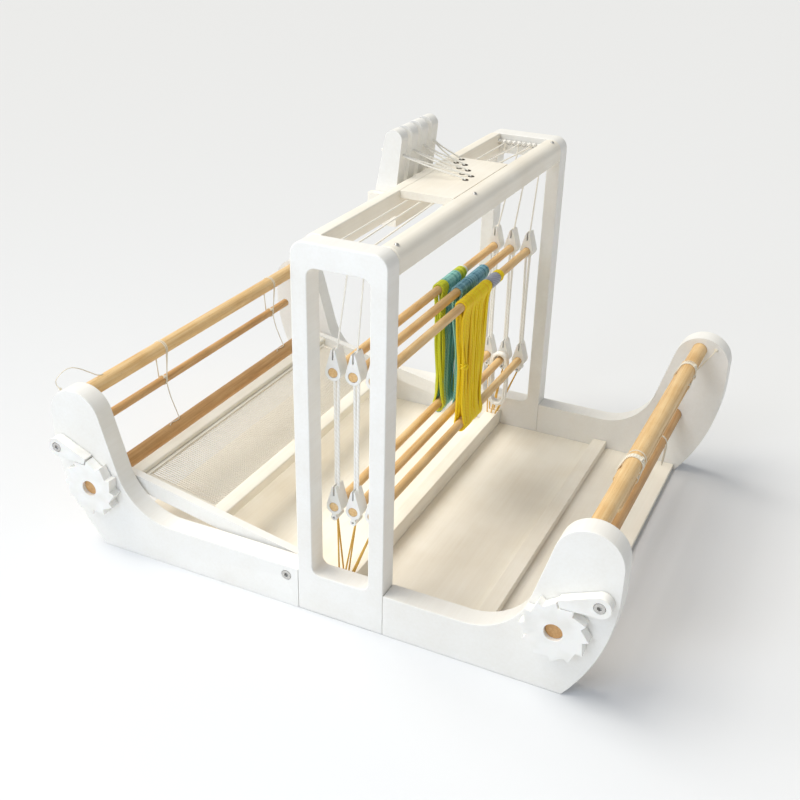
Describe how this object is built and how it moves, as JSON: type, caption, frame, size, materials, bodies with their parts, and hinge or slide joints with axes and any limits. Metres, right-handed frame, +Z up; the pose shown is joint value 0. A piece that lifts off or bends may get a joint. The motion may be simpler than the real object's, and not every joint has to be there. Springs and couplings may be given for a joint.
{
  "type": "table loom",
  "caption": "Small white table loom with a central castle, lever-worked heddle shafts, a tipping beater with reed, and cloth and warp rollers with ratchets.",
  "frame": {"origin": "on the table, under the middle of the loom's box", "axes": "+X towards the side with the ratchets, -Y towards the weaver, +Z up"},
  "size_m": [0.5126, 0.651, 0.4592],
  "materials": {
    "white_painted_board": "satin paint",
    "beech_dowel": "sanded, oiled",
    "steel_fasteners": "turned",
    "brown_stick_wood": "sanded, oiled",
    "white_plastic": "moulded, satin",
    "reed_wire": "polished flat wire",
    "green_heddle_cord": "twisted cord",
    "blue_heddle_cord": "twisted cord",
    "white_heddle_cord": "twisted cord",
    "yellow_heddle_cord": "twisted cord"
  },
  "bodies": {
    "loom": {"near_castle_frame": "white_painted_board", "far_castle_frame": "white_painted_board", "front_near_cheek": "white_painted_board", "front_far_cheek": "white_painted_board", "rear_near_cheek": "white_painted_board", "rear_far_cheek": "white_painted_board", "front_top_rail": "white_painted_board", "rear_top_rail": "white_painted_board", "cord_plate": "white_painted_board", "foot_rail": "white_painted_board", "base_board": "white_painted_board", "rear_batten": "white_painted_board", "front_beam": "beech_dowel", "back_beam": "beech_dowel", "lever_rack": "white_painted_board", "lever_axle": "steel_fasteners", "front_pawl_bolt": "steel_fasteners", "rear_pawl_bolt": "steel_fasteners", "near_beater_bolt": "steel_fasteners", "far_beater_bolt": "steel_fasteners", "lease_stick": "brown_stick_wood"},
    "cloth_roller": {"cloth_roller": "beech_dowel", "cloth_ratchet": "white_plastic"},
    "warp_roller": {"warp_roller": "beech_dowel", "warp_ratchet": "white_plastic"},
    "front_pawl": {"front_pawl": "white_plastic"},
    "rear_pawl": {"rear_pawl": "white_plastic"},
    "beater": {"beater_near_arm": "white_painted_board", "beater_far_arm": "white_painted_board", "beater_top_rail": "white_painted_board", "beater_bottom_rail": "white_painted_board", "reed": "reed_wire"},
    "lever_1": {"lever_1": "white_painted_board"},
    "lever_2": {"lever_2": "white_painted_board"},
    "lever_3": {"lever_3": "white_painted_board"},
    "lever_4": {"lever_4": "white_painted_board"},
    "shaft_1": {"shaft_1_upper_rod": "beech_dowel", "shaft_1_lower_rod": "beech_dowel", "shaft_1_near_upper_holder": "white_plastic", "shaft_1_far_upper_holder": "white_plastic", "shaft_1_near_lower_holder": "white_plastic", "shaft_1_far_lower_holder": "white_plastic", "shaft_1_heddles": "green_heddle_cord"},
    "shaft_2": {"shaft_2_upper_rod": "beech_dowel", "shaft_2_lower_rod": "beech_dowel", "shaft_2_near_upper_holder": "white_plastic", "shaft_2_far_upper_holder": "white_plastic", "shaft_2_near_lower_holder": "white_plastic", "shaft_2_far_lower_holder": "white_plastic", "shaft_2_heddles": "blue_heddle_cord", "spare_hank": "white_heddle_cord"},
    "shaft_3": {"shaft_3_upper_rod": "beech_dowel", "shaft_3_lower_rod": "beech_dowel", "shaft_3_near_upper_holder": "white_plastic", "shaft_3_far_upper_holder": "white_plastic", "shaft_3_near_lower_holder": "white_plastic", "shaft_3_far_lower_holder": "white_plastic", "shaft_3_heddles": "yellow_heddle_cord"},
    "cloth_stick": {"cloth_stick": "brown_stick_wood"},
    "warp_stick": {"warp_stick": "brown_stick_wood"}
  },
  "joints": [
    {"name": "cloth_roller_spin", "type": "hinge", "parent": "loom", "child": "cloth_roller", "pos_m": [-0.0063, -0.2725, 0.08], "axis": [1, 0, 0], "continuous": true},
    {"name": "warp_roller_spin", "type": "hinge", "parent": "loom", "child": "warp_roller", "pos_m": [-0.0063, 0.2695, 0.08], "axis": [1, 0, 0], "continuous": true},
    {"name": "front_pawl_lift", "type": "hinge", "parent": "loom", "child": "front_pawl", "pos_m": [0.2503, -0.3125, 0.122], "axis": [1, 0, 0], "range_deg": [0, 45]},
    {"name": "rear_pawl_lift", "type": "hinge", "parent": "loom", "child": "rear_pawl", "pos_m": [0.2503, 0.3095, 0.122], "axis": [-1, 0, 0], "range_deg": [0, 45]},
    {"name": "beater_swing", "type": "hinge", "parent": "loom", "child": "beater", "pos_m": [-0.0063, -0.026, 0.037], "axis": [-1, 0, 0], "range_deg": [0, 80]},
    {"name": "lever_1_pull", "type": "hinge", "parent": "loom", "child": "lever_1", "pos_m": [0.0057, -0.032, 0.372], "axis": [1, 0, 0], "range_deg": [0, 32]},
    {"name": "lever_2_pull", "type": "hinge", "parent": "loom", "child": "lever_2", "pos_m": [-0.0203, -0.032, 0.372], "axis": [1, 0, 0], "range_deg": [0, 32]},
    {"name": "lever_3_pull", "type": "hinge", "parent": "loom", "child": "lever_3", "pos_m": [-0.0463, -0.032, 0.372], "axis": [1, 0, 0], "range_deg": [0, 32]},
    {"name": "lever_4_pull", "type": "hinge", "parent": "loom", "child": "lever_4", "pos_m": [-0.0723, -0.032, 0.372], "axis": [1, 0, 0], "range_deg": [0, 32]},
    {"name": "shaft_1_lift", "type": "slide", "parent": "loom", "child": "shaft_1", "axis": [0, 0, 1], "range_m": [0, 0.033]},
    {"name": "shaft_2_lift", "type": "slide", "parent": "loom", "child": "shaft_2", "axis": [0, 0, 1], "range_m": [0, 0.033]},
    {"name": "shaft_3_lift", "type": "slide", "parent": "loom", "child": "shaft_3", "axis": [0, 0, 1], "range_m": [0, 0.033]},
    {"name": "cloth_stick_swing", "type": "hinge", "parent": "loom", "child": "cloth_stick", "pos_m": [-0.0063, -0.299, 0.175], "axis": [1, 0, 0], "range_deg": [-20, 20]},
    {"name": "warp_stick_swing", "type": "hinge", "parent": "loom", "child": "warp_stick", "pos_m": [-0.0063, 0.288, 0.175], "axis": [1, 0, 0], "range_deg": [-15, 15]}
  ],
  "couplings": [
    {"joint": "shaft_1_lift", "follows": "lever_3_pull", "m_per_rad": 0.058},
    {"joint": "shaft_2_lift", "follows": "lever_2_pull", "m_per_rad": 0.058},
    {"joint": "shaft_3_lift", "follows": "lever_1_pull", "m_per_rad": 0.058}
  ]
}
